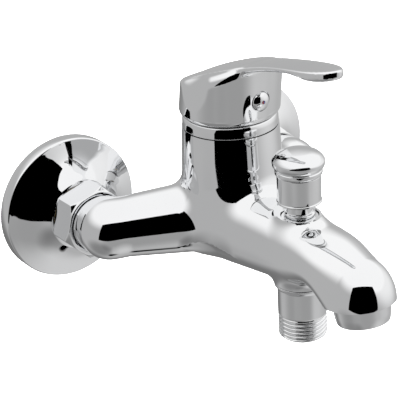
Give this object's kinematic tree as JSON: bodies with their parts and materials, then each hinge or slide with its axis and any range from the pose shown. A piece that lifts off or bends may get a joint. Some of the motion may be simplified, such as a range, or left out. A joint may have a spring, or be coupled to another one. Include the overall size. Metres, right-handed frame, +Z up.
{
  "type": "wall mounted bath and shower mixer",
  "caption": "Wall mounted single-lever bath and shower mixer with a pull-up diverter on the spout, an aerator and a threaded hose outlet.",
  "frame": {"origin": "on the wall plane, midway between the two inlets and at their height", "axes": "+X along the wall towards the right-hand inlet, +Y into the wall, +Z up; the spout points along -Y"},
  "size_m": [0.1654, 0.176, 0.1255],
  "materials": {
    "chrome": "polished",
    "brass": "machined",
    "steel": "bright drawn",
    "rubber": "matte",
    "fibre": "matte pressed fibre",
    "ceramic": "lapped ceramic",
    "white_plastic": "moulded",
    "grey_plastic": "moulded"
  },
  "bodies": {
    "body": {"aerator_gasket": "rubber", "aerator_housing": "chrome", "aerator_insert": "white_plastic", "cartridge_base": "grey_plastic", "cartridge_housing": "white_plastic", "cold_port_seal": "rubber", "diverter_bonnet": "chrome", "diverter_spring": "steel", "fixed_ceramic_disc": "ceramic", "hot_port_seal": "rubber", "left_filter_washer": "fibre", "left_flange": "chrome", "left_union_nut": "chrome", "left_union_tail": "chrome", "left_wall_union": "brass", "mixed_port_seal": "rubber", "mixer_body": "chrome", "nipple_seal": "rubber", "retaining_nut": "brass", "right_filter_washer": "fibre", "right_flange": "chrome", "right_union_nut": "chrome", "right_union_tail": "chrome", "right_wall_union": "brass", "rod_seal": "rubber", "shower_outlet_nipple": "chrome", "trim_ring": "chrome"},
    "swivel": {"turn_guide": "grey_plastic", "pivot_pin": "steel"},
    "lever": {"lever_handle": "chrome", "grub_screw": "steel", "index_cap": "chrome", "spindle": "brass"},
    "disc": {"moving_ceramic_disc": "ceramic", "disc_carrier": "grey_plastic"},
    "diverter": {"diverter_rod": "brass", "spring_collar": "steel", "diverter_piston": "brass", "shower_seat_washer": "rubber", "spout_seat_washer": "rubber", "knob_sleeve": "chrome", "knob_cap": "chrome"}
  },
  "joints": [
    {"name": "lever_swivel", "type": "hinge", "parent": "body", "child": "swivel", "pos_m": [0, -0.0621, 0.034], "axis": [0, 0, 1], "range_deg": [-50, 50]},
    {"name": "lever_tilt", "type": "hinge", "parent": "swivel", "child": "lever", "pos_m": [0, -0.0621, 0.034], "axis": [-1, 0, 0], "range_deg": [0, 25]},
    {"name": "disc_slide", "type": "slide", "parent": "swivel", "child": "disc", "axis": [0, -1, 0], "range_m": [0, 0.0036]},
    {"name": "diverter_pull", "type": "slide", "parent": "body", "child": "diverter", "axis": [0, 0, 1], "range_m": [0, 0.0065], "stiffness_N_per_m": 100, "springref_m": -0.01, "deforming": ["diverter_spring"]}
  ],
  "couplings": [
    {"joint": "disc_slide", "follows": "lever_tilt", "m_per_rad": 0.008}
  ]
}
